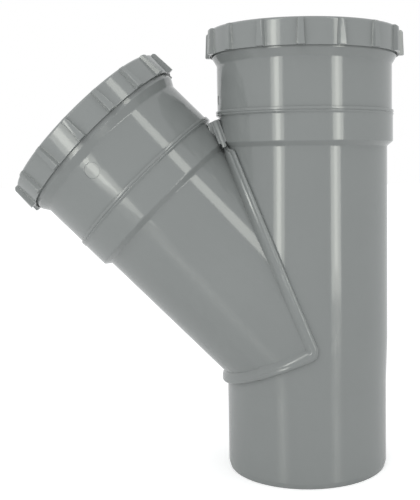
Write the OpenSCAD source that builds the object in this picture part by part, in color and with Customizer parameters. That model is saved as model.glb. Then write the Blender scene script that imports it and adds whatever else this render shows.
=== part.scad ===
// Forty-five degree soil pipe branch: a plain spigot below, a ring seal socket on top and
// an equal one on the side leg. Each socket holds a rubber ring under a clip-on cap.
// The origin is the centre of the spigot end, +Z runs up the straight pipe, and the side
// leg leans towards -X. A leg is measured by its reach, the distance from the crossing
// of the two axes.

/* [Pipe] */
// Outside diameter of the pipe and of the plain spigot
pipe_od = 110; // [105:0.5:120]
// Wall thickness of the pipe
pipe_wall = 3.2; // [2.8:0.1:4]
// Height of the crossing of the two axes above the spigot end
crossing_height = 88.5; // [84:0.5:110]
// Angle between the straight pipe and the side leg
branch_angle = 45; // [43:1:52]
// What the moulded body gains in diameter over the spigot
body_gain = 2; // [0.6:0.1:2.4]
// Length over which the spigot widens to the body
gain_length = 30; // [15:1:40]

/* [Spigot end] */
// Length of the bevel round the spigot end
end_bevel_length = 3.5; // [1:0.5:8]
// Depth of that bevel
end_bevel_depth = 0.9; // [0.3:0.1:1.8]

/* [Sockets] */
// Pipe left bare between the crotch and the shoulders of the sockets
crotch_land = 1.5; // [0.8:0.1:3]
// Inside diameter of a socket over the diameter of the pipe
socket_play = 0.6; // [0.4:0.1:0.8]
// Wall thickness of a socket
socket_wall = 3.9; // [3.4:0.1:4.5]
// Depth from the shoulder to the stop that the pipe butts against
stop_depth = 2; // [1.5:0.1:2.5]
// Length of a socket from its shoulder to its mouth
socket_length = 71.6; // [68:0.2:80]
// How far the lower half of a socket stands out of line, away from the crotch
half_step = 0.7; // [0.1:0.1:0.9]
// Distance from the shoulder to the middle of the seam bead
seam_reach = 18.9; // [16:0.1:24]
// Width of the seam bead along the socket
seam_width = 3.9; // [3:0.1:5]
// Height of the seam bead over the socket wall
seam_height = 1.1; // [0.6:0.1:1.6]
// Width of the groove along the middle of the seam bead
seam_groove = 0.9; // [0.6:0.1:1.2]

/* [Mouth] */
// Radius of the hollow curve in which a socket flares to its collar
flare_radius = 11; // [8:0.5:14]
// How far the collar stands out from the socket wall
collar_height = 3; // [2.6:0.1:3.6]
// Length of the collar of the top socket, from its flare to the mouth
collar_length = 15.2; // [14.4:0.1:17]
// How much longer the collar of the side socket is
side_collar_extra = 2; // [0:0.1:3]
// Width of the snap groove round the collar
snap_width = 2.6; // [2:0.1:3]
// Depth of the snap groove
snap_depth = 1; // [0.7:0.1:1.2]

/* [Ring seals] */
// Depth of the recess for the rubber ring, from the mouth
seal_recess = 9.2; // [8.4:0.1:10]
// Wall left between that recess and the face of the collar
recess_wall = 2.5; // [2:0.1:2.8]
// Thickness of the root of the rubber ring
seal_root = 2.4; // [2:0.1:3]
// Bevel on the edges of the rubber ring
seal_edge = 0.6; // [0.3:0.1:0.8]
// Clearance between the lip of the rubber ring and the pipe, on the radius
lip_clearance = 0.06; // [0.05:0.01:0.1]

/* [Retaining caps] */
// Thickness of the skirt of a cap
cap_skirt = 1.7; // [1.4:0.1:2.4]
// Thickness of the top lip of a cap
cap_lip = 2.6; // [2:0.1:3.4]
// How far the opening of a cap clears the pipe, on the radius
cap_opening_gap = 1.4; // [1:0.1:2]
// Bevel on the outer top edge of a cap and of its grip ribs
cap_edge = 1.2; // [0.8:0.1:1.6]
// Number of grip ribs round a cap
grip_count = 16; // [8:1:24]
// How far a grip rib stands out from the skirt at its foot
grip_height = 3; // [2:0.1:3.6]
// What a grip rib loses in height for each millimetre upwards
grip_lean = 0.04; // [0:0.01:0.08]
// Width of a grip rib at the bottom of the skirt
grip_foot = 6; // [4.8:0.2:8.4]
// What a grip rib loses in width for each millimetre upwards
grip_taper = 0.1; // [0.04:0.02:0.2]
// What a grip rib loses in width for each millimetre outwards
grip_flank = 0.8; // [0.3:0.1:1]
// How far the top of a grip rib lies under the top of the cap
grip_drop = 0.4; // [0.4:0.1:3.2]
// How far the top cap is turned round its socket
top_cap_turn = -3.5; // [-11:0.5:11]
// How far the side cap is turned round its socket
side_cap_turn = 0; // [-11:0.5:11]

/* [Junction rib] */
// Width of the raised rib along the meeting line of the two pipes
rib_width = 6.8; // [5.6:0.1:9]
// Height of the rib over the pipe
rib_height = 2.9; // [2:0.1:3.4]
// Width of the crest of the rib
rib_crest = 2.6; // [2:0.1:4]
// Radius of the rib's middle line where its two runs meet
rib_bend = 6; // [4.6:0.2:9]
// How far the rib lies off the crossing, away from the side leg
rib_offset = 2.8; // [0:0.2:4]
// Length over which the rib narrows to its neck under the shoulders
rib_neck_length = 11; // [6:0.5:14]

/* [Crotch web] */
// Thickness of the web that fills the crotch between the sockets
web_thickness = 9; // [8:0.1:9.4]
// Depth of that web from front to back
web_depth = 36; // [16:1:37]
// Bare gap from the top of the web to the seam beads, along the web
web_gap = 3.2; // [3:0.2:8]
// Width of the ridge that runs up the middle of the web
ridge_width = 3; // [2.4:0.1:4]
// Depth of the web over its ridges, from front to back
ridge_depth = 40; // [34:1:42]

/* [Moulding marks] */
// Diameter of the blank round mark on the top socket
top_mark_diameter = 6.6; // [5:0.2:8]
// Diameter of the blank round mark on the side socket
side_mark_diameter = 10.4; // [6:0.2:10.8]
// Depth of a mark
mark_depth = 0.35; // [0.2:0.05:0.5]
// Distance of the mark on the top socket from the seam bead
top_mark_reach = 9; // [8:0.5:22]
// Turn of the mark on the top socket, from the side that faces the crotch
top_mark_turn = 13; // [0:1:150]
// Distance of the mark on the side socket from the seam bead
side_mark_reach = 24; // [8:0.5:24]
// Turn of the mark on the side socket, from the side that faces the crotch
side_mark_turn = 100; // [0:1:150]

/* [Fits] */
// Clearance between a cap and the collar it clips on
cap_clearance = 0.25; // [0.15:0.05:0.35]
// Clearance between a rubber ring and its recess
seal_clearance = 0.2; // [0.1:0.05:0.3]

/* [Hidden] */
$fn = 144;
eps = 0.01;
shell_grey = [0.54, 0.56, 0.555];
cap_grey = [0.56, 0.58, 0.575];
rubber_black = [0.09, 0.09, 0.09];

spigot_r = pipe_od / 2;
body_r = spigot_r + body_gain / 2;
pipe_bore_r = spigot_r - pipe_wall;
pipe_mid_r = spigot_r - pipe_wall / 2;
half_angle = branch_angle / 2;
gain_end = crossing_height;
gain_start = gain_end - gain_length;

// Reaches along a leg, from the crossing
shoulder_reach = spigot_r / tan(half_angle) + crotch_land;
stop_reach = shoulder_reach + stop_depth;
seam_mid = shoulder_reach + seam_reach;
mouth_reach = shoulder_reach + socket_length;
collar_reach = mouth_reach - collar_length;
snap_low = collar_reach + snap_width;
snap_high = snap_low + snap_width;
recess_reach = mouth_reach - seal_recess;
cap_foot_reach = collar_reach + snap_width / 2 - cap_clearance;
cap_top_reach = mouth_reach + cap_clearance + cap_lip;

// Radii round the axis of a leg
socket_bore_r = spigot_r + socket_play / 2;
socket_r = socket_bore_r + socket_wall;
collar_r = socket_r + collar_height;
recess_r = collar_r - recess_wall;
cap_bore_r = collar_r + cap_clearance;
cap_r = cap_bore_r + cap_skirt;
grip_r = cap_r + grip_height;
cap_opening_r = spigot_r + cap_opening_gap;
flare_start = collar_reach - sqrt(pow(flare_radius, 2) - pow(flare_radius - collar_height, 2));

// The rib ends at the foot of the shoulders. The web starts where its ridges sink into the
// pipes and ends square to its own plane, below the beads where they come closest
web_top = (seam_mid - seam_width / 2) / cos(half_angle) - web_gap;
web_foot = sqrt(pow(pipe_mid_r, 2) - pow(ridge_depth / 2, 2)) / sin(half_angle);
neck_reach = (shoulder_reach - socket_r + body_r) / cos(half_angle);
neck_offset = rib_offset * cos(half_angle) / 2;
rib_levels = 3;

// Places what is drawn up the straight leg; +X there is the side away from the crotch
module on_top_leg() {
    translate([0, 0, crossing_height])
        children();
}

// Places the same drawing on the side leg, as its mirror image about the crotch
module on_side_leg() {
    translate([0, 0, crossing_height])
        rotate([0, -branch_angle, 0])
            mirror([1, 0, 0])
                children();
}

// Outside of a leg's lower half: the shoulder and the band below the seam
module socket_lower_half() {
    foot_r = pipe_mid_r;
    foot_reach = shoulder_reach - (socket_r - foot_r);
    rotate_extrude()
        polygon([
            [0, foot_reach],
            [foot_r, foot_reach],
            [socket_r, shoulder_reach],
            [socket_r, seam_mid],
            [0, seam_mid]
        ]);
}

// Seam bead with a flat crest, a groove along it and a sloped underside
module seam_bead() {
    crest_r = socket_r + seam_height;
    edge = seam_height / 3;
    low = seam_mid - seam_width / 2;
    high = seam_mid + seam_width / 2;
    rotate_extrude()
        polygon([
            [socket_bore_r + eps, low],
            [socket_r, low],
            [crest_r, low + seam_height],
            [crest_r, seam_mid - seam_groove / 2],
            [crest_r - seam_groove / 2, seam_mid],
            [crest_r, seam_mid + seam_groove / 2],
            [crest_r, high - edge],
            [crest_r - edge, high],
            [socket_bore_r + eps, high]
        ]);
}

// Outside of a leg's upper half: the wall, the flare and the collar with its snap groove
module socket_upper_half(extra) {
    rotate_extrude()
        difference() {
            polygon([
                [0, seam_mid],
                [socket_r, seam_mid],
                [socket_r, flare_start],
                [collar_r, collar_reach],
                [collar_r, snap_low + extra],
                [collar_r - snap_depth, snap_low + extra],
                [collar_r - snap_depth, snap_high + extra],
                [collar_r, snap_high + extra],
                [collar_r, mouth_reach + extra],
                [0, mouth_reach + extra]
            ]);
            translate([socket_r + flare_radius, flare_start])
                circle(r = flare_radius);
        }
}

// A collar can be longer than that of the top socket by some extra length
module socket_outside(extra) {
    translate([half_step, 0, 0])
        socket_lower_half();
    socket_upper_half(extra);
    seam_bead();
}

// Room for the pipe and for the rubber ring at the mouth of a socket
module socket_inside(extra) {
    rotate_extrude()
        polygon([
            [0, stop_reach],
            [socket_bore_r, stop_reach],
            [socket_bore_r, recess_reach + extra],
            [recess_r, recess_reach + extra],
            [recess_r, mouth_reach + extra + eps],
            [0, mouth_reach + extra + eps]
        ]);
}

// The straight pipe from the spigot end to the shoulder of the top socket
module run_pipe() {
    rotate_extrude()
        polygon([
            [0, 0],
            [spigot_r - end_bevel_depth, 0],
            [spigot_r, end_bevel_length],
            [spigot_r, gain_start],
            [body_r, gain_end],
            [body_r, crossing_height + stop_reach],
            [0, crossing_height + stop_reach]
        ]);
}

// Front view of the rib: two straight runs at right angles, joined by a bend; the upper
// run narrows to a neck that stands half as far off the crossing
module rib_outline(width) {
    run = neck_reach;
    neck_half = min(width, ridge_width) / 2;
    polygon([
        [-width / 2, rib_bend],
        [width / 2, rib_bend],
        [width / 2, neck_reach - rib_neck_length],
        [neck_half - neck_offset, neck_reach],
        [-neck_half - neck_offset, neck_reach],
        [-width / 2, neck_reach - rib_neck_length]
    ]);
    translate([-rib_bend - run, -width / 2])
        square([run, width]);
    translate([-rib_bend, rib_bend])
        intersection() {
            difference() {
                circle(r = rib_bend + width / 2);
                circle(r = rib_bend - width / 2);
            }
            translate([0, -2 * rib_bend - width])
                square(2 * rib_bend + width);
        }
}

// Rib along the meeting line, raised in steps from its foot to its crest
module junction_rib() {
    for (level = [1:rib_levels]) {
        share = (level - 1) / (rib_levels - 1);
        width = rib_width + (rib_crest - rib_width) * share;
        crest_r = body_r + rib_height * level / rib_levels;
        intersection() {
            translate([rib_offset, 0, crossing_height])
                rotate([90, -half_angle, 0])
                    linear_extrude(2 * (body_r + rib_height), center = true)
                        rib_outline(width);
            difference() {
                cylinder(r = crest_r, h = crossing_height + mouth_reach);
                translate([0, 0, -eps])
                    cylinder(r = pipe_mid_r, h = crossing_height + mouth_reach + 2 * eps);
            }
        }
    }
}

// One upright slab of the web, in the plane halfway between the two legs
module web_slab(thickness, depth) {
    translate([-thickness / 2, -depth / 2, web_foot])
        cube([thickness, depth, web_top - web_foot]);
}

// Web in the crotch between the two sockets, cut off square under the beads, with a
// narrow ridge up its front and up its back, in line with the neck of the rib
module crotch_web() {
    translate([0, 0, crossing_height])
        rotate([0, -half_angle, 0]) {
            web_slab(web_thickness, web_depth);
            translate([neck_offset, 0, 0])
                web_slab(ridge_width, ridge_depth);
        }
}

// Shallow blank round mark on the wall of a socket
module round_mark(diameter, reach, turn) {
    rotate([0, 0, 180 + turn])
        translate([socket_r - mark_depth, 0, seam_mid + reach])
            rotate([0, 90, 0])
                cylinder(d = diameter, h = 2 * mark_depth);
}

module branch_body() {
    color(shell_grey)
        difference() {
            union() {
                run_pipe();
                on_side_leg()
                    cylinder(r = body_r, h = stop_reach);
                junction_rib();
                crotch_web();
                on_top_leg()
                    socket_outside(0);
                on_side_leg()
                    socket_outside(side_collar_extra);
            }
            translate([0, 0, -eps])
                cylinder(r = pipe_bore_r, h = crossing_height + stop_reach + 2 * eps);
            on_side_leg()
                cylinder(r = pipe_bore_r, h = stop_reach + eps);
            on_top_leg() {
                socket_inside(0);
                round_mark(top_mark_diameter, top_mark_reach, top_mark_turn);
            }
            on_side_leg() {
                socket_inside(side_collar_extra);
                round_mark(side_mark_diameter, side_mark_reach, side_mark_turn);
            }
        }
}

// Rubber ring: a root that sits in the recess and a lip that slopes in to the pipe
module ring_seal() {
    root_r = recess_r - seal_clearance;
    low = recess_reach + seal_clearance;
    high = mouth_reach - seal_clearance;
    inner_r = root_r - seal_root;
    lip_r = spigot_r + lip_clearance;
    rotate_extrude()
        polygon([
            [inner_r, high - seal_edge],
            [inner_r + seal_edge, high],
            [root_r, high],
            [root_r, low],
            [root_r - seal_root / 2, low],
            [inner_r + seal_edge, low + seal_root],
            [lip_r + seal_edge, low],
            [lip_r, low + seal_edge],
            [inner_r, low + 2 * seal_root]
        ]);
}

// One grip rib: two faces that lean together towards the top and towards the outside,
// and would meet in a ridge outside the cap
module grip_wedge() {
    lean = atan(grip_taper / grip_flank);
    slope = norm([grip_taper, grip_flank]);
    ridge = grip_foot / slope;
    height = cap_top_reach - cap_foot_reach;
    translate([cap_r, 0, cap_foot_reach])
        rotate([0, -lean, 0])
            translate([0, 0, -height])
                linear_extrude(3 * height)
                    polygon([
                        [-cap_skirt, -(ridge + cap_skirt) * slope / 2],
                        [ridge, 0],
                        [-cap_skirt, (ridge + cap_skirt) * slope / 2]
                    ]);
}

module retaining_cap() {
    rib_top = cap_top_reach - grip_drop;
    bevel_foot = rib_top - cap_edge;
    bevel_r = grip_r - grip_lean * (bevel_foot - cap_foot_reach);
    snap_mid = (snap_low + snap_high) / 2;
    snap_bead = snap_width / 2 - cap_clearance;
    rotate_extrude()
        polygon([
            [cap_bore_r, cap_foot_reach],
            [cap_r, cap_foot_reach],
            [cap_r, cap_top_reach - cap_edge],
            [cap_r - cap_edge, cap_top_reach],
            [cap_opening_r + cap_lip / 2, cap_top_reach],
            [cap_opening_r, cap_top_reach - cap_lip / 2],
            [cap_opening_r, mouth_reach + cap_clearance],
            [cap_bore_r, mouth_reach + cap_clearance],
            [cap_bore_r, snap_mid + snap_bead],
            [cap_bore_r - snap_depth + cap_clearance, snap_mid + snap_bead / 2],
            [cap_bore_r - snap_depth + cap_clearance, snap_mid - snap_bead / 2],
            [cap_bore_r, snap_mid - snap_bead]
        ]);
    for (i = [0:grip_count - 1])
        rotate([0, 0, i * 360 / grip_count])
            intersection() {
                grip_wedge();
                rotate_extrude()
                    polygon([
                        [cap_r - cap_skirt / 2, cap_foot_reach],
                        [grip_r, cap_foot_reach],
                        [bevel_r, bevel_foot],
                        [bevel_r - cap_edge, rib_top],
                        [cap_r - cap_skirt / 2, rib_top]
                    ]);
            }
}

module top_ring_seal() {
    color(rubber_black)
        on_top_leg()
            ring_seal();
}

module side_ring_seal() {
    color(rubber_black)
        on_side_leg()
            translate([0, 0, side_collar_extra])
                ring_seal();
}

module top_retaining_cap() {
    color(cap_grey)
        on_top_leg()
            rotate([0, 0, top_cap_turn])
                retaining_cap();
}

module side_retaining_cap() {
    color(cap_grey)
        on_side_leg()
            translate([0, 0, side_collar_extra])
                rotate([0, 0, side_cap_turn])
                    retaining_cap();
}

branch_body();
top_ring_seal();
side_ring_seal();
top_retaining_cap();
side_retaining_cap();
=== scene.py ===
"""Looks of the forty-five degree pipe branch, laid out as an add-on.

The moulded body, the two retaining caps and the two rubber rings are rebuilt as clean meshes in
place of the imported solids. Every size is in metres, and a leg is drawn in its own frame: the
crossing of the axes at the origin, the mouth up Z and +X on the side away from the crotch.
"""

from math import atan2, copysign, cos, pi, radians, sin, sqrt, tan
from types import SimpleNamespace

import bmesh
import bpy
from bpy.props import (
    BoolProperty,
    FloatProperty,
    FloatVectorProperty,
    IntProperty,
    PointerProperty,
)
from mathutils import Matrix, Vector

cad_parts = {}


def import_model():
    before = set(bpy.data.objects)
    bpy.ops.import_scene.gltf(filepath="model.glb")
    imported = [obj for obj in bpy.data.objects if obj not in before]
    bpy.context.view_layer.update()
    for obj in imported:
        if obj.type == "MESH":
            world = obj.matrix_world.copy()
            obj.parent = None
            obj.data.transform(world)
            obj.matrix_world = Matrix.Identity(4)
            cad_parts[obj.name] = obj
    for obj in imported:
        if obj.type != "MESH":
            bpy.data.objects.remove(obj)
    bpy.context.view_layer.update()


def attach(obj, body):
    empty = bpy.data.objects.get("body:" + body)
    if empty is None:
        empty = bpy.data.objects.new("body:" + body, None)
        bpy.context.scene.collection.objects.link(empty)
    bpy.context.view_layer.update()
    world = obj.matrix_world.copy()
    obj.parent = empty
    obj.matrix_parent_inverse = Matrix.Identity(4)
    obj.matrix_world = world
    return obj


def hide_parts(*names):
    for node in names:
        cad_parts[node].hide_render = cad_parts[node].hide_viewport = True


bl_info = {
    "name": "Pipe Branch",
    "version": (1, 0, 0),
    "blender": (4, 5, 0),
    "location": "3D View > Sidebar > Branch",
    "description": "Builds a forty-five degree soil pipe branch and its studio stage",
    "category": "Add Mesh",
}

MM = 0.001
SEGMENTS = 128  # faces round a leg
ROUND_STEPS = 4  # faces in the rounding of a corner
BEVEL_STEPS = 3  # faces in a bevel
LONG_SIDE = 0.0015  # a side of a profile longer than this gets a row near each end
ROW_INSET = 0.00015  # how far from the end that row lies
SIDE_SHARE = 0.48  # the most of a side that one rounding may take
STRAIGHT = 89.5  # half angle in degrees over which a corner counts as straight
SHELL_SHARP = 20  # edges that turn more than this many degrees stay sharp
CAP_SHARP = 12  # the same on the caps, with their small flats
WINDOW_SHARE = 0.75  # half height of the window round a mark, as a share of its size
RIB_SUNK = 0.0012  # how deep the foot of the rib lies in the pipe
TOUCH = 1e-6  # slack where a vertex is tested against a surface
SPLIT_WITHIN = 1e-7  # a vertex this near a cutting plane lies on it
MERGE_WITHIN = 2e-6  # vertices of the two legs nearer than this become one
RIM_MERGE = 0.0006  # the same along the rim where the side leg leaves the pipe
NOISE_LOW, NOISE_HIGH = 0.3, 0.7  # where most values of a noise lie

CAMERA_PLACE = (-0.01982, -0.57466, 0.21161)
CAMERA_PITCH, CAMERA_ROLL = -4.56, -0.66  # degrees
LEFT_STRIP = (-0.37, -0.52)  # where the strip lights stand
RIGHT_STRIP = (0.497, -0.624)
KEY_PLACE, KEY_AIM = (-0.55, -1.1, 0.95), (-0.03, 0, 0.17)
KEY_SIZE = 0.7
LAMP_COLOUR = (0.985, 1.0, 0.92)
CORE_STEP = 0.01  # how far a core stands in front of its strip

MIX_FACTOR, MIX_A, MIX_B, MIX_RESULT = 0, 6, 7, 2  # colour sockets of a Mix node


def length(name, description, value):
    """A length property, its default given in millimetres."""
    return FloatProperty(
        name=name,
        description=description,
        default=value * MM,
        min=-1.0,
        max=2.0,
        precision=5,
        unit="LENGTH",
    )


def angle(name, description, value):
    """An angle property, its default given in degrees."""
    return FloatProperty(
        name=name,
        description=description,
        default=radians(value),
        unit="ROTATION",
        subtype="ANGLE",
    )


def colour(name, description, value):
    return FloatVectorProperty(
        name=name,
        description=description,
        default=value,
        min=0.0,
        max=1.0,
        size=3,
        subtype="COLOR",
    )


class BranchPipe(bpy.types.PropertyGroup):
    od: length("Pipe diameter", "Outside diameter of the pipe and of the plain spigot", 110)
    wall: length("Pipe wall", "Wall thickness of the pipe", 3.2)
    crossing: length("Crossing height", "Height of the crossing of the axes above the end", 88.5)
    lean: angle("Branch angle", "Angle between the straight pipe and the side leg", 45)
    gain: length("Body gain", "What the body gains in diameter over the spigot", 2)
    gain_length: length("Gain length", "Length over which the spigot widens to the body", 30)
    end_length: length("End bevel length", "Length of the bevel round the spigot end", 3.5)
    end_depth: length("End bevel depth", "Depth of that bevel", 0.9)


class BranchSocket(bpy.types.PropertyGroup):
    land: length("Crotch land", "Pipe left bare between the crotch and the shoulders", 1.5)
    play: length("Socket play", "Inside diameter of a socket over that of the pipe", 0.6)
    wall: length("Socket wall", "Wall thickness of a socket", 3.9)
    stop: length("Stop depth", "Depth from the shoulder to the stop for the pipe", 2)
    length: length("Socket length", "Length of a socket from shoulder to mouth", 71.6)
    step: length("Half step", "How far the lower half stands out of line", 0.7)
    seam_reach: length("Seam reach", "Distance from the shoulder to the seam bead", 18.9)
    seam_width: length("Seam width", "Width of the seam bead along the socket", 3.9)
    seam_height: length("Seam height", "Height of the seam bead over the wall", 1.1)
    seam_groove: length("Seam groove", "Width of the groove along the seam bead", 0.9)
    flare: length("Flare radius", "Radius of the curve under the collar", 11)
    crease: length("Flare crease", "How far the cone of the flare starts over its foot", 2.5)
    collar: length("Collar height", "How far the collar stands out from the wall", 3)
    collar_length: length("Collar length", "Length of the top collar up to the mouth", 15.2)
    extra: length("Side collar extra", "How much longer the collar of the side socket is", 2)
    snap_width: length("Snap width", "Width of the snap groove round the collar", 2.6)
    snap_depth: length("Snap depth", "Depth of the snap groove", 1)
    recess: length("Seal recess", "Depth of the recess for the rubber ring", 9.2)
    recess_wall: length("Recess wall", "Wall left round that recess", 2.5)
    edge: length("Edge rounding", "Rounding of the small moulded edges", 0.35)
    foot: length("Shoulder rounding", "Rounding at the foot and brow of a shoulder", 1.2)


class BranchSeal(bpy.types.PropertyGroup):
    root: length("Seal root", "Thickness of the root of the rubber ring", 2.4)
    edge: length("Seal edge", "Rounding on the edges of the rubber ring", 0.6)
    lip: length("Lip clearance", "Clearance between the lip and the pipe", 0.06)
    clearance: length("Seal clearance", "Clearance between ring and recess", 0.2)


class BranchCap(bpy.types.PropertyGroup):
    skirt: length("Skirt", "Thickness of the skirt of a cap", 1.7)
    lip: length("Lip", "Thickness of the top lip of a cap", 2.6)
    gap: length("Opening gap", "How far the opening clears the pipe on the radius", 1.4)
    edge: length("Cap edge", "Bevel on the outer top edge", 1.2)
    clearance: length("Clearance", "Clearance between a cap and its collar", 0.25)
    count: IntProperty(name="Ribs", description="Grip ribs round a cap", default=16, min=3)
    height: length("Rib height", "How far a grip rib stands out at its foot", 3)
    width: length("Rib width", "Width of a grip rib at its foot", 6)
    drop: length("Rib drop", "How far a grip rib ends under the top of the cap", 0.4)
    rounding: length("Rib rounding", "Rounding of the edges of a grip rib", 0.4)
    rim: length("Foot rim", "Thickness of the skirt at its foot", 0.45)
    hollow: length("Foot hollow", "Depth of the hollow behind that rim", 1.5)
    lean: FloatProperty(name="Rib lean", description="Height lost upwards", default=0.04)
    taper: FloatProperty(name="Rib taper", description="Width lost upwards", default=0.1)
    flank: FloatProperty(name="Rib flank", description="Width lost outwards", default=0.5)
    top_turn: angle("Top cap turn", "How far the top cap is turned", -3.5)
    side_turn: angle("Side cap turn", "How far the side cap is turned", 0)


class BranchRib(bpy.types.PropertyGroup):
    width: length("Rib width", "Width of the rib along the meeting line", 6.8)
    height: length("Rib height", "Height of the rib over the pipe", 2.9)
    crest: length("Crest width", "Width of the crest of the rib", 2.6)
    bend: length("Rib bend", "Radius of the middle line at the corner", 4)
    offset: length("Rib offset", "How far the rib lies off the crossing", 2.8)
    dip: length("Crest dip", "Depth of the hollow along the crest", 0.3)
    spread: length("Rib spread", "How much wider its flank is towards the side leg", 1.2)
    slip: length("Rib slip", "How far the seen rib lies outside its middle line", 0.7)
    dome: FloatProperty(name="Rib dome", description="Squareness of its section", default=2.3)
    neck_length: length("Neck length", "Length over which the rib narrows to its neck", 3)
    web: length("Web thickness", "Thickness of the web in the crotch", 9)
    web_depth: length("Web depth", "Depth of the web from front to back", 36)
    web_gap: length("Web gap", "Gap from the web to the seam beads", 3.2)
    lip: length("Moulding width", "Width of the moulding along the front of the web", 6)
    lip_depth: length("Moulding swell", "How far that moulding swells forward to its foot", 10)
    ridge: length("Ridge width", "Width of the ridge up the middle of the web", 3)
    ridge_depth: length("Ridge depth", "Depth of the web over its ridges", 40)


class BranchMarks(bpy.types.PropertyGroup):
    depth: length("Mark depth", "Depth of the blank round marks", 0.35)
    top_size: length("Top mark", "Diameter of the mark on the top socket", 6.6)
    top_reach: length("Top mark reach", "Distance of that mark from the seam", 9)
    top_turn: angle("Top mark turn", "Turn of that mark from the crotch side", 13)
    side_size: length("Side mark", "Diameter of the mark on the side socket", 10.4)
    side_reach: length("Side mark reach", "Distance of that mark from the seam", 24)
    side_turn: angle("Side mark turn", "Turn of that mark from the crotch side", 101.2)


class BranchLooks(bpy.types.PropertyGroup):
    shell: colour("Body grey", "Colour of the moulded body", (0.26, 0.275, 0.27))
    cap: colour("Cap grey", "Colour of the retaining caps", (0.275, 0.29, 0.285))
    rubber: colour("Rubber", "Colour of the rubber rings", (0.018, 0.018, 0.019))
    gloss: FloatProperty(name="Roughness", description="Of the moulded grey", default=0.09)


class BranchStage(bpy.types.PropertyGroup):
    left_width: length("Left width", "Width of the left strip light", 165)
    left_top: length("Left top", "Height of the left strip light", 1100)
    right_width: length("Right width", "Width of the right strip light", 190)
    right_top: length("Right top", "Height of the right strip light", 1700)
    core_width: length("Core width", "Width of the brighter core of a strip light", 65)
    core_rise: length("Core rise", "How far the core starts above the strip's foot", 40)
    core_top: length("Core top", "Height of the top of the core", 450)
    left_glow: FloatProperty(
        name="Left glow", description="Radiance of the left strip", default=3.0
    )
    glow: FloatProperty(name="Right glow", description="Radiance of the right strip", default=4.2)
    core: FloatProperty(name="Core glow", description="Radiance of strip and core", default=7.1)
    key: FloatProperty(name="Key light", description="Power of the front light", default=2.4)
    sky: FloatProperty(name="Surround", description="Brightness of the surround", default=0.85)
    show_floor: BoolProperty(name="Floor", description="Adds the floor", default=True)


def figures():
    """Reaches along a leg and radii round it that follow from the sizes in the panel."""
    scene = bpy.context.scene
    pipe, socket, cap = scene.branch_pipe, scene.branch_socket, scene.branch_cap
    f = SimpleNamespace(half=pipe.lean / 2)
    f.spigot_r = pipe.od / 2
    f.body_r = f.spigot_r + pipe.gain / 2
    f.bore_r = f.spigot_r - pipe.wall
    f.shoulder = f.spigot_r / tan(f.half) + socket.land
    f.stop = f.shoulder + socket.stop
    f.seam = f.shoulder + socket.seam_reach
    f.mouth = f.shoulder + socket.length
    f.collar = f.mouth - socket.collar_length
    f.snap_low = f.collar + socket.snap_width
    f.snap_high = f.snap_low + socket.snap_width
    f.recess = f.mouth - socket.recess
    f.cap_foot = f.collar + socket.snap_width / 2 - cap.clearance
    f.cap_top = f.mouth + cap.clearance + cap.lip
    f.inside_r = f.spigot_r + socket.play / 2
    f.socket_r = f.inside_r + socket.wall
    f.collar_r = f.socket_r + socket.collar
    f.recess_r = f.collar_r - socket.recess_wall
    f.cap_bore_r = f.collar_r + cap.clearance
    f.cap_r = f.cap_bore_r + cap.skirt
    f.opening_r = f.spigot_r + cap.gap
    f.flare_foot = f.collar - sqrt(socket.flare**2 - (socket.flare - socket.collar) ** 2)
    f.neck = (f.shoulder - f.socket_r + f.body_r) / cos(f.half)
    f.neck_offset = scene.branch_rib.offset * cos(f.half) / 2
    return f


def top_frame():
    return Matrix.Translation((0, 0, bpy.context.scene.branch_pipe.crossing))


def side_frame():
    """The side leg is the mirror image of the top leg about the plane of the crotch."""
    turn = Matrix.Rotation(-bpy.context.scene.branch_pipe.lean, 4, "Y")
    return top_frame() @ turn @ Matrix.Diagonal((-1, 1, 1, 1))


def side_mouth():
    """Frame for what sits at the mouth of the side socket, further out than on top."""
    return side_frame() @ Matrix.Translation((0, 0, bpy.context.scene.branch_socket.extra))


def rounded(points):
    """A closed profile of (x, y) points; a third figure rounds the corner with that radius."""
    out = []
    for i, point in enumerate(points):
        here = Vector(point[:2])
        radius = point[2] if len(point) > 2 else 0
        if radius <= 0:
            out.append(here)
            continue
        back = Vector(points[i - 1][:2]) - here
        on = Vector(points[(i + 1) % len(points)][:2]) - here
        a, b = back.normalized(), on.normalized()
        half = a.angle(b) / 2
        if half > radians(STRAIGHT):
            out.append(here)
            continue
        reach = min(radius / tan(half), SIDE_SHARE * back.length, SIDE_SHARE * on.length)
        centre = here + (a + b).normalized() * (reach / cos(half))
        u, v = here + a * reach - centre, here + b * reach - centre
        sweep = u.angle(v)
        for k in range(ROUND_STEPS + 1):
            t = k / ROUND_STEPS
            out.append(centre + (u * sin((1 - t) * sweep) + v * sin(t * sweep)) / sin(sweep))
    return out


def supported(profile):
    """The closed profile with points added near the ends of its long sides, so that shading
    stays even along them."""
    out = []
    for here, on in zip(profile, profile[1:] + profile[:1]):
        here, on = Vector(here), Vector(on)
        out.append(here)
        if (on - here).length > LONG_SIDE:
            step = (on - here).normalized() * ROW_INSET
            out += [here + step, on - step]
    return out


def lathe(bm, profile):
    """Spins a closed profile of (radius, reach) points round Z; returns the new vertices."""
    before = set(bm.verts)
    verts = [bm.verts.new((r, 0, z)) for r, z in supported(profile)]
    edges = [bm.edges.new(pair) for pair in zip(verts, verts[1:] + verts[:1])]
    bmesh.ops.spin(
        bm,
        geom=verts + edges,
        cent=(0, 0, 0),
        axis=(0, 0, 1),
        angle=2 * pi,
        steps=SEGMENTS,
        use_merge=True,
    )
    return [v for v in bm.verts if v not in before]


def bevel_edges(bm, edges, offset):
    """Rounds the edges."""
    bmesh.ops.bevel(
        bm,
        geom=list(edges),
        offset=offset,
        offset_type="OFFSET",
        segments=BEVEL_STEPS,
        profile=0.5,
        affect="EDGES",
        material=-1,
    )


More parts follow.
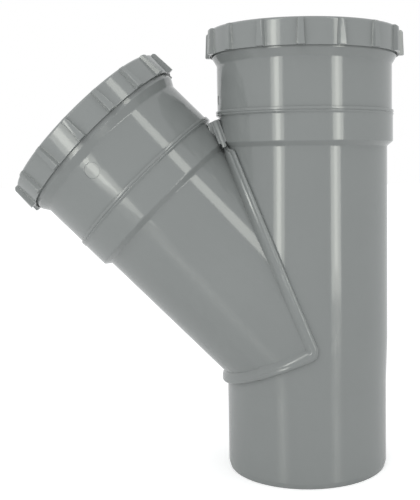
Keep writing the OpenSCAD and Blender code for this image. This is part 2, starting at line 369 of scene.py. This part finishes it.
def loft(bm, rows):
    """A closed tube through rows of points, with a face over each end."""
    made = [[bm.verts.new(p) for p in row] for row in rows]
    count = len(rows[0])
    for a, b in zip(made, made[1:]):
        for i in range(count):
            j = (i + 1) % count
            bm.faces.new((a[i], a[j], b[j], b[i]))
    bm.faces.new(made[0])
    bm.faces.new(list(reversed(made[-1])))


def smooth_shade(bm, limit):
    """Smooth faces, with the edges that turn more than the limit left sharp."""
    for face in bm.faces:
        face.smooth = True
    for edge in bm.edges:
        edge.smooth = len(edge.link_faces) != 2 or edge.calc_face_angle(0) < radians(limit)


def add_object(name, data, matrix=None):
    """Links a new object to the scene, at the origin unless a matrix is given."""
    thing = bpy.data.objects.new(name, data)
    if matrix is not None:
        thing.matrix_world = matrix
    bpy.context.scene.collection.objects.link(thing)
    return thing


def finish_piece(bm, name, material, limit=SHELL_SHARP):
    """Turns the mesh into an object with its material and its shading."""
    bmesh.ops.recalc_face_normals(bm, faces=bm.faces)
    smooth_shade(bm, limit)
    mesh = bpy.data.meshes.new(name)
    bm.to_mesh(mesh)
    bm.free()
    mesh.materials.append(material)
    return add_object(name, mesh)


def nodes_of(material):
    """Clears the nodes down to one shader, and returns the tree and that shader."""
    material.use_nodes = True
    tree = material.node_tree
    tree.nodes.clear()
    out = tree.nodes.new("ShaderNodeOutputMaterial")
    shader = tree.nodes.new("ShaderNodeBsdfPrincipled")
    tree.links.new(shader.outputs["BSDF"], out.inputs["Surface"])
    return tree, shader


def add_noise(tree, scale, detail):
    """Value of a noise that is laid over the object."""
    where = tree.nodes.new("ShaderNodeTexCoord")
    noise = tree.nodes.new("ShaderNodeTexNoise")
    noise.inputs["Scale"].default_value = scale
    noise.inputs["Detail"].default_value = detail
    noise.inputs["Roughness"].default_value = 0.5
    tree.links.new(where.outputs["Object"], noise.inputs["Vector"])
    return noise.outputs["Fac"]


def add_range(tree, source, low, high):
    """Maps a noise value to the range from low to high."""
    node = tree.nodes.new("ShaderNodeMapRange")
    node.inputs["From Min"].default_value = NOISE_LOW
    node.inputs["From Max"].default_value = NOISE_HIGH
    node.inputs["To Min"].default_value = low
    node.inputs["To Max"].default_value = high
    tree.links.new(source, node.inputs["Value"])
    return node.outputs["Result"]


def add_tint(tree, shader, source, dark, light):
    """Colours the shader between two colours by a noise value."""
    tint = tree.nodes.new("ShaderNodeMix")
    tint.data_type = "RGBA"
    tint.inputs[MIX_A].default_value = [*dark, 1.0]
    tint.inputs[MIX_B].default_value = [*light, 1.0]
    tree.links.new(add_range(tree, source, 0.0, 1.0), tint.inputs[MIX_FACTOR])
    tree.links.new(tint.outputs[MIX_RESULT], shader.inputs["Base Color"])


def add_bump(tree, scale, detail, strength, distance):
    """Bump node with a noise of its own."""
    bump = tree.nodes.new("ShaderNodeBump")
    bump.inputs["Strength"].default_value = strength
    bump.inputs["Distance"].default_value = distance
    tree.links.new(add_noise(tree, scale, detail), bump.inputs["Height"])
    return bump


def add_share(tree, source, factor):
    """A share of a value."""
    node = tree.nodes.new("ShaderNodeMath")
    node.operation = "MULTIPLY"
    node.inputs[1].default_value = factor
    tree.links.new(source, node.inputs[0])
    return node.outputs["Value"]


def moulded_grey(name, base, roughness):
    """Glossy moulded plastic: a cloudy tint, a slow swell in the skin and a fine grain."""
    material = bpy.data.materials.new(name)
    tree, shader = nodes_of(material)
    dark, light, glossy, dull = 0.975, 1.025, 0.9, 1.1  # shares of colour and roughness
    cloud = add_noise(tree, scale=14.0, detail=3.0)
    add_tint(tree, shader, cloud, [c * dark for c in base], [c * light for c in base])
    haze = add_noise(tree, scale=60.0, detail=4.0)
    level = add_range(tree, haze, roughness * glossy, roughness * dull)
    tree.links.new(level, shader.inputs["Roughness"])
    shader.inputs["IOR"].default_value = 1.5
    swell = add_bump(tree, scale=22.0, detail=1.0, strength=0.08, distance=0.0004)
    grain = add_bump(tree, scale=900.0, detail=2.0, strength=0.03, distance=0.00005)
    tree.links.new(swell.outputs["Normal"], grain.inputs["Normal"])
    tree.links.new(grain.outputs["Normal"], shader.inputs["Normal"])
    return material


def rubber_black(name, base):
    """Dull black rubber with a pale bloom and a fine grain."""
    material = bpy.data.materials.new(name)
    tree, shader = nodes_of(material)
    pale, smooth, rough = 1.8, 0.5, 0.68
    bloom = add_noise(tree, scale=180.0, detail=4.0)
    add_tint(tree, shader, bloom, base, [c * pale for c in base])
    tree.links.new(add_range(tree, bloom, smooth, rough), shader.inputs["Roughness"])
    grain = add_bump(tree, scale=1500.0, detail=2.0, strength=0.2, distance=0.0001)
    tree.links.new(grain.outputs["Normal"], shader.inputs["Normal"])
    return material


def grey_material(name):
    """The grey of the body or of the caps, made once."""
    looks = bpy.context.scene.branch_looks
    base = looks.shell if name == "shell_gloss" else looks.cap
    return bpy.data.materials.get(name) or moulded_grey(name, base, looks.gloss)


def mark_rows(f, reach, size):
    """Rows of faces round a mark, so that it can be let into the wall under the flare."""
    rows, spare = 4, 0.0001
    half = min(size * WINDOW_SHARE, f.flare_foot - reach - spare)
    return [reach + half * k / rows for k in range(-rows, rows + 1)]


def leg_profile(f, foot, rows, extra):
    """Closed profile of one leg: up its outside from the foot and down its inside. The
    collar is longer than that of the top leg by the extra length."""
    socket = bpy.context.scene.branch_socket
    edge = socket.edge
    rise = f.socket_r - f.body_r
    low = f.seam - socket.seam_width / 2
    high = f.seam + socket.seam_width / 2
    crest = f.socket_r + socket.seam_height
    groove = socket.seam_groove / 2
    ring = f.collar_r - socket.snap_depth
    flare_edge, collar_edge = 0.002, 0.0003
    points = list(foot)
    points += [
        (f.body_r, f.shoulder - rise, socket.foot),
        (f.socket_r, f.shoulder, socket.foot),
        (f.socket_r, low, edge),
        (crest, low + socket.seam_height, edge),
        (crest, f.seam - groove, edge / 2),
        (crest - groove, f.seam, edge / 2),
        (crest, f.seam + groove, edge / 2),
        (crest, high, edge),
        (f.socket_r, high, edge / 2),
    ]
    points += [(f.socket_r, row) for row in rows]
    points += [
        (f.socket_r, f.flare_foot),
        (f.socket_r, f.flare_foot + socket.crease, flare_edge),
        (f.collar_r, f.collar, collar_edge),
        (f.collar_r, f.snap_low + extra),
        (ring, f.snap_low + extra),
        (ring, f.snap_high + extra),
        (f.collar_r, f.snap_high + extra),
        (f.collar_r, f.mouth + extra, edge),
        (f.recess_r, f.mouth + extra, edge),
        (f.recess_r, f.recess + extra),
        (f.inside_r, f.recess + extra, edge),
        (f.inside_r, f.stop),
        (f.bore_r, f.stop, edge),
    ]
    return points


def shift_lower_half(verts, f):
    """Sets the lower half of the socket out of line, away from the crotch."""
    socket = bpy.context.scene.branch_socket
    rise = f.socket_r - f.body_r
    low = f.seam - socket.seam_width / 2
    for v in verts:
        if sqrt(v.co.x**2 + v.co.y**2) < f.spigot_r + TOUCH + socket.play:
            continue
        if f.shoulder - rise - socket.foot < v.co.z < low + socket.edge:
            grown = (v.co.z - f.shoulder + rise) / rise
            v.co.x += socket.step * min(1.0, max(0.0, grown))


def let_in_mark(bm, f, size, reach, turn):
    """Opens a window in the socket wall and closes it again round a shallow flat disc."""
    floor = bpy.context.scene.branch_marks.depth
    wall = f.socket_r
    half = size * WINDOW_SHARE
    on_wall_within, margin, step, fillet = 0.00002, 0.0005, 0.0002, 0.0006
    pitch = 2 * pi / SEGMENTS
    columns = max(2, round(half / (pitch * wall)))
    facing = pi + turn
    middle = round(facing / pitch) * pitch
    span = (columns + 0.1) * pitch

    def place(v):
        """Unrolled place of a vertex round the middle of the window."""
        round_z = (atan2(v.co.y, v.co.x) - middle + pi) % (2 * pi) - pi
        return round_z * wall, v.co.z - reach

    def in_window(v):
        across, along = place(v)
        on_wall = abs(sqrt(v.co.x**2 + v.co.y**2) - wall) < on_wall_within
        return on_wall and abs(across) < span * wall and abs(along) < half * 1.01

    window = [face for face in bm.faces if all(in_window(v) for v in face.verts)]
    verts = {v for face in window for v in face.verts}
    bmesh.ops.delete(bm, geom=window, context="FACES")
    verts = [v for v in verts if v.is_valid]
    shift = (facing - middle) * wall

    def polar(v):
        across, along = place(v)
        return atan2(along, across - shift)

    verts.sort(key=polar)
    radius = size / 2

    def spot(across, along, depth):
        a = facing + across / wall
        return Vector(((wall - depth) * cos(a), (wall - depth) * sin(a), reach + along))

    def ring(r, depth):
        """Ring of vertices at a depth under the wall."""
        turns = [polar(v) for v in verts]
        return [bm.verts.new(spot(r * cos(t), r * sin(t), depth)) for t in turns]

    rings = [verts, ring(radius + margin, 0), ring(radius, 0)]
    rings += [ring(r, floor) for r in (radius - step, radius - fillet, radius / 2)]
    centre = bm.verts.new(spot(0, 0, floor))
    count = len(verts)
    for outer, inner in zip(rings, rings[1:]):
        for i in range(count):
            j = (i + 1) % count
            bm.faces.new((outer[i], outer[j], inner[j], inner[i]))
    for i in range(count):
        bm.faces.new((rings[-1][i], rings[-1][(i + 1) % count], centre))


def make_leg(f, foot, extra, size, reach, turn):
    """Mesh of one leg in its own frame, with its mark let in."""
    marks_reach = f.seam + reach
    bm = bmesh.new()
    profile = leg_profile(f, foot, mark_rows(f, marks_reach, size), extra)
    verts = lathe(bm, rounded(profile))
    shift_lower_half(verts, f)
    let_in_mark(bm, f, size, marks_reach, turn)
    bmesh.ops.recalc_face_normals(bm, faces=bm.faces)
    return bm


def near(bm, normal, limit):
    """Geometry of the faces that lie under the limit along the normal."""
    faces = [face for face in bm.faces if face.calc_center_median().dot(normal) < limit]
    verts = {v for face in faces for v in face.verts}
    edges = {e for face in faces for e in face.edges}
    return list(verts) + list(edges) + faces


def cut_legs(run, side, f):
    """Trims both legs, still in the frame of the crossing, to the planes where they meet."""
    split_over = 0.006  # the run is split only up to this far over the other plane
    up_cut = Vector((cos(f.half), 0, sin(f.half)))
    low_cut = Vector((sin(f.half), 0, -cos(f.half)))
    for this, other in ((up_cut, low_cut), (low_cut, up_cut)):
        bmesh.ops.bisect_plane(
            run,
            geom=near(run, other, split_over),
            dist=SPLIT_WITHIN,
            plane_co=(0, 0, 0),
            plane_no=this,
        )
        bmesh.ops.bisect_plane(
            side,
            geom=list(side.verts) + list(side.edges) + list(side.faces),
            dist=SPLIT_WITHIN,
            plane_co=(0, 0, 0),
            plane_no=this,
            clear_outer=True,
        )
    gone = [
        face
        for face in run.faces
        if face.calc_center_median().dot(up_cut) < -TOUCH
        and face.calc_center_median().dot(low_cut) < -TOUCH
    ]
    bmesh.ops.delete(run, geom=gone, context="FACES")


def rib_section(rib):
    """Domed section of the rib as (across, height) points, hollow along its crest and with
    its foot let into the pipe."""
    half, crest = rib.width / 2, rib.crest / 2
    points = [(-half - rib.spread, -RIB_SUNK)]
    steps, flank_curve = 28, 1.7
    for k in range(steps + 1):
        a = pi * (k / steps - 0.5)
        across = copysign(abs(sin(a)) ** (2 / rib.dome), a) * half
        height = rib.height * max(cos(a), 0) ** (2 / rib.dome)
        if a < 0:
            across = sin(a) * (half + rib.spread)
            height = rib.height * (1 - abs(sin(a)) ** flank_curve)
        hollow = max(0, 1 - (across / crest) ** 2)
        points.append((across, height - rib.dip * hollow * hollow))
    points.append((half, -RIB_SUNK))
    return points


def add_rib(bm, f):
    """The rib along the meeting line: down the front, round the corner, round the left
    silhouette and up the back. Its width is the width seen from the front."""
    rib = bpy.context.scene.branch_rib
    section = rib_section(rib)
    along = Vector((-sin(f.half), cos(f.half)))  # up the crotch, as (x, z)
    low = Vector((-cos(f.half), -sin(f.half)))  # down to the left
    start = Vector((rib.offset, 0)) - (along + low) * rib.slip
    bend = rib.bend
    hub = start + along * bend + low * bend
    over_shoulder, turn_reach = 0.002, 0.034
    run = (f.shoulder + over_shoulder) / cos(f.half)
    stations = []  # each maps a section point to (x, z)
    steps = 70
    for k in range(steps):
        s = run + (bend - run) * k / steps
        part = min(1.0, max(0.0, 1 - (f.neck - s) / rib.neck_length))
        slim = 1 - part * (1 - rib.ridge / rib.width)
        stations.append(
            lambda t, s=s, part=part, slim=slim: start
            + along * s
            - low * (t * slim - (f.neck_offset + rib.slip) * part)
        )
    steps = 12
    for k in range(steps + 1):
        a = pi / 2 * k / steps
        out = -low * cos(a) - along * sin(a)
        stations.append(lambda t, out=out: hub + out * (bend + t))
    steps = 24
    turn_off = turn_reach / cos(f.half)
    for k in range(1, steps + 1):
        s = bend + (turn_off - bend) * k / steps
        stations.append(lambda t, s=s: start + low * s - along * t)

    def depths(t, h, where):
        """How far in front of the axes the straight pipe and the side leg reach there."""
        x, z = where(t)
        off = (x * cos(2 * f.half) + z * sin(2 * f.half)) ** 2
        r = (f.body_r + h) ** 2
        return sqrt(max(r - x * x, 0)), sqrt(max(r - off, 0))

    rows = []
    half = rib.width / 2 + rib.spread
    for where in stations:
        straight, side = depths(-half, 0, where)
        lift = max(side - straight, 0)
        row = []
        for t, h in section:
            x, z = where(t)
            depth, beside = depths(t, h, where)
            if h >= 0:
                depth += lift * max(0, -t / half)
            elif t < 0:
                depth = max(depth, beside)
            row.append(Vector((x, -depth, z)))
        rows.append(row)
    front = len(rows)
    steps = 48
    for k in range(1, steps):
        row = []
        for i, (t, h) in enumerate(section):
            r = f.body_r + h
            first = rows[front - 1][i]
            a = atan2(-first.x, -first.y)  # from the front towards the left
            turn = a + (pi - 2 * a) * k / steps
            x = -r * sin(turn)
            base = start - along * t
            z = base.y + (x - base.x) * tan(f.half)
            row.append(Vector((x, -r * cos(turn), z)))
        rows.append(row)
    for k in range(front - 1, -1, -1):
        rows.append([Vector((p.x, -p.y, p.z)) for p in rows[k]])
    loft(bm, rows)


def add_web(bm, f):
    """The web in the crotch with its moulding and ridge, cut off square under the beads."""
    sunk, lip_lift, ridge_drop, rounding = 0.0015, 0.0025, 0.0005, 0.0007
    rib, socket = bpy.context.scene.branch_rib, bpy.context.scene.branch_socket
    top = (f.seam - socket.seam_width / 2) / cos(f.half) - rib.web_gap
    buried = f.body_r - sunk
    foot = sqrt(buried**2 - (rib.ridge_depth / 2) ** 2) / sin(f.half)
    spot = Matrix.Rotation(-f.half, 4, "Y") @ Matrix.Translation((0, 0, (top + foot) / 2))
    lip = rib.lip_depth
    slabs = (
        (rib.web, rib.web_depth, 0, 0, foot),
        (rib.lip, rib.web_depth, lip, f.neck_offset, f.neck + lip_lift),
        (rib.ridge, rib.ridge_depth, lip, f.neck_offset, f.neck - ridge_drop),
    )
    for thickness, depth, swell, offset, low in slabs:
        place = spot @ Matrix.Translation((offset, 0, (low - foot) / 2))
        size = Matrix.Diagonal((thickness, depth, top - low, 1))
        slab = bmesh.ops.create_cube(bm, size=1, matrix=place @ size)["verts"]
        centre = sum((v.co for v in slab), Vector()) / len(slab)
        for v in slab:
            if v.co.z < centre.z:
                v.co.y += copysign(swell, v.co.y)
        bevel_edges(bm, {e for v in slab for e in v.link_edges}, rounding)


def build_body():
    """The moulded body as one piece."""
    scene = bpy.context.scene
    f = figures()
    pipe, marks = scene.branch_pipe, scene.branch_marks
    base = -pipe.crossing
    bore_edge, end_edge, bevel_edge, gain_edge = 0.0003, 0.0005, 0.0015, 0.01
    run_foot = [
        (f.bore_r, base, bore_edge),
        (f.spigot_r - pipe.end_depth, base, end_edge),
        (f.spigot_r, base + pipe.end_length, bevel_edge),
        (f.spigot_r, -pipe.gain_length, gain_edge),
        (f.body_r, 0, gain_edge),
    ]
    start = -0.03  # of the side leg, which is trimmed where it meets the run
    side_foot = [(f.bore_r, start), (f.body_r, start)]
    extra = scene.branch_socket.extra
    run = make_leg(f, run_foot, 0, marks.top_size, marks.top_reach, marks.top_turn)
    side = make_leg(f, side_foot, extra, marks.side_size, marks.side_reach, marks.side_turn)
    away = top_frame().inverted() @ side_frame()
    bmesh.ops.transform(side, matrix=away, verts=side.verts)
    bmesh.ops.reverse_faces(side, faces=side.faces)
    cut_legs(run, side, f)
    spare = bpy.data.meshes.new("spare")
    side.to_mesh(spare)
    side.free()
    run.from_mesh(spare)
    bpy.data.meshes.remove(spare)
    bmesh.ops.remove_doubles(run, verts=run.verts, dist=MERGE_WITHIN)
    low_cut = Vector((sin(f.half), 0, -cos(f.half)))
    in_plane, right_limit = 1e-5, 0.001
    rim = [
        v
        for v in run.verts
        if v.is_boundary and abs(v.co.dot(low_cut)) < in_plane and v.co.x < right_limit
    ]
    bmesh.ops.remove_doubles(run, verts=rim, dist=RIM_MERGE)
    add_web(run, f)
    add_rib(run, f)
    bmesh.ops.transform(run, matrix=top_frame(), verts=run.verts)
    return finish_piece(run, "branch_shell", grey_material("shell_gloss"))


def add_grips(bm, f):
    """Grip ribs round the skirt, narrower towards the top and towards the outside."""
    cap = bpy.context.scene.branch_cap
    clear = 0.0001  # edges nearer the skirt than this are left unrounded
    inner, outer = f.cap_r - cap.skirt / 2, f.cap_r + cap.height
    foot, top = f.cap_foot, f.cap_top - cap.drop
    bevel_foot = top - cap.edge
    bevel_r = outer - cap.lean * (bevel_foot - foot)
    side_view = [(inner, foot), (outer, foot), (bevel_r, bevel_foot)]
    side_view += [(bevel_r - cap.edge, top), (inner, top)]

    def half_width(r, z):
        return (cap.width - cap.taper * (z - foot) - cap.flank * (r - f.cap_r)) / 2

    lower = [bm.verts.new((r, -half_width(r, z), z)) for r, z in side_view]
    upper = [bm.verts.new((r, half_width(r, z), z)) for r, z in side_view]
    count = len(side_view)
    faces = [bm.faces.new(lower), bm.faces.new(list(reversed(upper)))]
    for i in range(count):
        j = (i + 1) % count
        faces.append(bm.faces.new((lower[j], lower[i], upper[i], upper[j])))
    shown = {
        e
        for face in faces
        for e in face.edges
        if max(sqrt(v.co.x**2 + v.co.y**2) for v in e.verts) > f.cap_r + clear
        and sum(v.co.x for v in e.verts) / 2 > f.cap_r + clear / 2
    }
    bevel_edges(bm, shown, cap.rounding)
    grip = list(bm.verts) + list(bm.edges) + list(bm.faces)
    for k in range(1, cap.count):
        twin = bmesh.ops.duplicate(bm, geom=grip)["geom"]
        bmesh.ops.rotate(
            bm,
            cent=(0, 0, 0),
            matrix=Matrix.Rotation(2 * pi * k / cap.count, 3, "Z"),
            verts=[g for g in twin if isinstance(g, bmesh.types.BMVert)],
        )


def cap_profile(f):
    """Closed profile of a cap: its skirt, its lip and the bead that snaps in the groove."""
    scene = bpy.context.scene
    cap, socket = scene.branch_cap, scene.branch_socket
    under = f.mouth + cap.clearance
    bead_r = f.cap_bore_r - socket.snap_depth + cap.clearance
    middle = (f.snap_low + f.snap_high) / 2
    half = socket.snap_width / 2 - cap.clearance
    soft, mild, fine, bead_edge, rim_edge = 0.0008, 0.0006, 0.0003, 0.0002, 0.0001
    return [
        (f.cap_bore_r, f.cap_foot + cap.hollow),
        (f.cap_r - cap.rim, f.cap_foot + cap.hollow),
        (f.cap_r - cap.rim, f.cap_foot, rim_edge),
        (f.cap_r, f.cap_foot, fine),
        (f.cap_r, f.cap_top - cap.edge, soft),
        (f.cap_r - cap.edge, f.cap_top, soft),
        (f.opening_r + cap.lip / 2, f.cap_top, mild),
        (f.opening_r, f.cap_top - cap.lip / 2, mild),
        (f.opening_r, under, fine),
        (f.cap_bore_r, under),
        (f.cap_bore_r, middle + half),
        (bead_r, middle + half / 2, bead_edge),
        (bead_r, middle - half / 2, bead_edge),
        (f.cap_bore_r, middle - half),
    ]


def build_cap(name, place, turn):
    """One retaining cap, turned about its leg."""
    f = figures()
    bm = bmesh.new()
    add_grips(bm, f)
    lathe(bm, rounded(cap_profile(f)))
    matrix = place @ Matrix.Rotation(turn, 4, "Z")
    bmesh.ops.transform(bm, matrix=matrix, verts=bm.verts)
    return finish_piece(bm, name, grey_material("cap_gloss"), CAP_SHARP)


def build_seal(name, place):
    """One rubber ring with its root in the recess and its lip towards the pipe."""
    f = figures()
    seal = bpy.context.scene.branch_seal
    root_r = f.recess_r - seal.clearance
    low, high = f.recess + seal.clearance, f.mouth - seal.clearance
    inner_r = root_r - seal.root
    lip_r = f.spigot_r + seal.lip
    edge = seal.edge
    points = [
        (inner_r, high, edge),
        (root_r, high, edge / 2),
        (root_r, low, edge / 2),
        (root_r - seal.root / 2, low, edge / 2),
        (inner_r + edge, low + seal.root, edge),
        (lip_r + edge, low, edge / 2),
        (lip_r, low + edge, edge / 2),
        (inner_r, low + 2 * seal.root, edge),
    ]
    bm = bmesh.new()
    lathe(bm, rounded(points))
    bmesh.ops.transform(bm, matrix=place, verts=bm.verts)
    made = bpy.data.materials.get("ring_rubber")
    colour_of = bpy.context.scene.branch_looks.rubber
    return finish_piece(bm, name, made or rubber_black("ring_rubber", colour_of))


def add_camera():
    """The view of the photograph: a long lens, shifted sideways and up."""
    data = bpy.data.cameras.new("view")
    data.sensor_width = 36
    data.lens = 60.17
    data.shift_x = -0.1334
    data.shift_y = -0.049
    data.clip_start = 0.05
    data.clip_end = 50
    pitch, roll = radians(CAMERA_PITCH), radians(CAMERA_ROLL)
    forward = Vector((0, cos(pitch), sin(pitch)))
    right = Vector((1, 0, 0))
    up = right.cross(forward)
    across = right * cos(roll) + up * sin(roll)
    rise = up * cos(roll) - right * sin(roll)
    turn = Matrix((across, rise, -forward)).transposed()
    matrix = Matrix.Translation(CAMERA_PLACE) @ turn.to_4x4()
    bpy.context.scene.camera = add_object("view", data, matrix)


def add_lamp(name, x, y, width, foot, top, radiance):
    """One upright rectangle of light that is only seen in reflections."""
    data = bpy.data.lights.new(name, "AREA")
    data.shape = "RECTANGLE"
    data.size = width
    data.size_y = top - foot
    data.energy = radiance * pi * width * (top - foot)
    data.color = LAMP_COLOUR
    facing = Matrix.Rotation(atan2(x, -y), 4, "Z") @ Matrix.Rotation(pi / 2, 4, "X")
    middle = Matrix.Translation((x, y, (foot + top) / 2))
    add_object(name, data, middle @ facing).visible_diffuse = False


def add_strip(name, place, width, top, glow):
    """A tall strip light that faces the straight pipe, with a brighter core in front of its
    lower half."""
    stage = bpy.context.scene.branch_stage
    x, y = place
    add_lamp(name, x, y, width, 0, top, glow)
    near = 1 - CORE_STEP / sqrt(x * x + y * y)
    core_top = min(top, stage.core_top)
    added = stage.core - glow
    rise = stage.core_rise
    add_lamp(name + "_core", x * near, y * near, stage.core_width, rise, core_top, added)


def add_key(energy):
    """A large soft light from the upper left in front, left out of the reflections."""
    data = bpy.data.lights.new("key", "AREA")
    data.shape = "SQUARE"
    data.size = KEY_SIZE
    data.energy = energy
    spot = Vector(KEY_PLACE)
    aim = (Vector(KEY_AIM) - spot).to_track_quat("-Z", "Y").to_matrix().to_4x4()
    add_object("key", data, Matrix.Translation(spot) @ aim).visible_glossy = False


def add_surround(level):
    """A plain pale surround, white where the camera looks straight at it."""
    world = bpy.data.worlds.new("surround")
    world.use_nodes = True
    tree = world.node_tree
    tree.nodes.clear()
    out = tree.nodes.new("ShaderNodeOutputWorld")
    mix = tree.nodes.new("ShaderNodeMixShader")
    seen = tree.nodes.new("ShaderNodeBackground")
    light = tree.nodes.new("ShaderNodeBackground")
    path = tree.nodes.new("ShaderNodeLightPath")
    seen.inputs["Color"].default_value = (1, 1, 1, 1)
    seen.inputs["Strength"].default_value = 1.0
    light.inputs["Color"].default_value = (0.985, 0.995, 1.0, 1)
    light.inputs["Strength"].default_value = level
    tree.links.new(path.outputs["Is Camera Ray"], mix.inputs["Fac"])
    tree.links.new(light.outputs["Background"], mix.inputs[1])
    tree.links.new(seen.outputs["Background"], mix.inputs[2])
    tree.links.new(mix.outputs["Shader"], out.inputs["Surface"])
    bpy.context.scene.world = world


def add_floor():
    """A plain white floor that keeps the shadow of the object."""
    sheen_share, glow_share = 0.5, 0.4  # as reflections and as the camera see it
    bm = bmesh.new()
    bmesh.ops.create_grid(bm, x_segments=4, y_segments=4, size=6)
    mesh = bpy.data.meshes.new("floor")
    bm.to_mesh(mesh)
    bm.free()
    material = bpy.data.materials.new("floor_white")
    tree, shader = nodes_of(material)
    shader.inputs["Base Color"].default_value = (0.95, 0.95, 0.95, 1)
    shader.inputs["Roughness"].default_value = 0.22
    path = tree.nodes.new("ShaderNodeLightPath")
    sheen = add_share(tree, path.outputs["Is Glossy Ray"], sheen_share)
    tree.links.new(sheen, shader.inputs["Specular IOR Level"])
    lift = add_share(tree, path.outputs["Is Camera Ray"], glow_share)
    tree.links.new(lift, shader.inputs["Emission Strength"])
    shader.inputs["Emission Color"].default_value = (1, 1, 1, 1)
    mesh.materials.append(material)
    floor = add_object("floor", mesh)


class BRANCH_OT_body(bpy.types.Operator):
    """Builds the moulded body with both legs, the rib, the web and the marks"""

    bl_idname = "branch.body"
    bl_label = "Moulded body"
    bl_options = {"REGISTER", "UNDO"}

    def execute(self, context):
        piece = build_body()
        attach(piece, "root")
        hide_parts("branch_body")
        return {"FINISHED"}


class BRANCH_OT_caps(bpy.types.Operator):
    """Builds the two ribbed retaining caps"""

    bl_idname = "branch.caps"
    bl_label = "Retaining caps"
    bl_options = {"REGISTER", "UNDO"}

    def execute(self, context):
        cap = context.scene.branch_cap
        top = build_cap("top_cap", top_frame(), cap.top_turn)
        side = build_cap("side_cap", side_mouth(), cap.side_turn)
        for piece, node in ((top, "top_retaining_cap"), (side, "side_retaining_cap")):
            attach(piece, "root")
            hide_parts(node)
        return {"FINISHED"}


class BRANCH_OT_seals(bpy.types.Operator):
    """Builds the two rubber rings inside the sockets"""

    bl_idname = "branch.seals"
    bl_label = "Rubber rings"
    bl_options = {"REGISTER", "UNDO"}

    def execute(self, context):
        top = build_seal("top_seal", top_frame())
        side = build_seal("side_seal", side_mouth())
        for piece, node in ((top, "top_ring_seal"), (side, "side_ring_seal")):
            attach(piece, "root")
            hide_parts(node)
        return {"FINISHED"}


class BRANCH_OT_stage(bpy.types.Operator):
    """Adds the camera, the lights, the pale surround and the floor"""

    bl_idname = "branch.stage"
    bl_label = "Studio stage"
    bl_options = {"REGISTER", "UNDO"}

    def execute(self, context):
        stage = context.scene.branch_stage
        context.scene.view_settings.view_transform = "Standard"
        add_camera()
        add_key(stage.key)
        add_strip("left_strip", LEFT_STRIP, stage.left_width, stage.left_top, stage.left_glow)
        add_strip("right_strip", RIGHT_STRIP, stage.right_width, stage.right_top, stage.glow)
        add_surround(stage.sky)
        if stage.show_floor:
            add_floor()
        return {"FINISHED"}


class BRANCH_PT_panel(bpy.types.Panel):
    """Sizes, colours and building steps of the pipe branch"""

    bl_idname = "BRANCH_PT_panel"
    bl_label = "Pipe Branch"
    bl_space_type = "VIEW_3D"
    bl_region_type = "UI"
    bl_category = "Branch"

    def draw(self, context):
        scene = context.scene
        for group_name in GROUPS:
            group = getattr(scene, group_name)
            box = self.layout.box()
            for key in group.__annotations__:
                box.prop(group, key)
        for operator in OPERATORS:
            self.layout.operator(operator.bl_idname)


GROUPS = {
    "branch_pipe": BranchPipe,
    "branch_socket": BranchSocket,
    "branch_seal": BranchSeal,
    "branch_cap": BranchCap,
    "branch_rib": BranchRib,
    "branch_marks": BranchMarks,
    "branch_looks": BranchLooks,
    "branch_stage": BranchStage,
}
OPERATORS = (BRANCH_OT_body, BRANCH_OT_caps, BRANCH_OT_seals, BRANCH_OT_stage)


def register():
    for group in GROUPS.values():
        bpy.utils.register_class(group)
    for operator in OPERATORS:
        bpy.utils.register_class(operator)
    bpy.utils.register_class(BRANCH_PT_panel)
    for name, group in GROUPS.items():
        setattr(bpy.types.Scene, name, PointerProperty(type=group))


def unregister():
    for name in GROUPS:
        delattr(bpy.types.Scene, name)
    bpy.utils.unregister_class(BRANCH_PT_panel)
    for operator in reversed(OPERATORS):
        bpy.utils.unregister_class(operator)
    for group in reversed(list(GROUPS.values())):
        bpy.utils.unregister_class(group)


def main():
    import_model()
    register()
    bpy.ops.branch.body()
    bpy.ops.branch.caps()
    bpy.ops.branch.seals()
    bpy.ops.branch.stage()


if __name__ == "__main__":
    main()
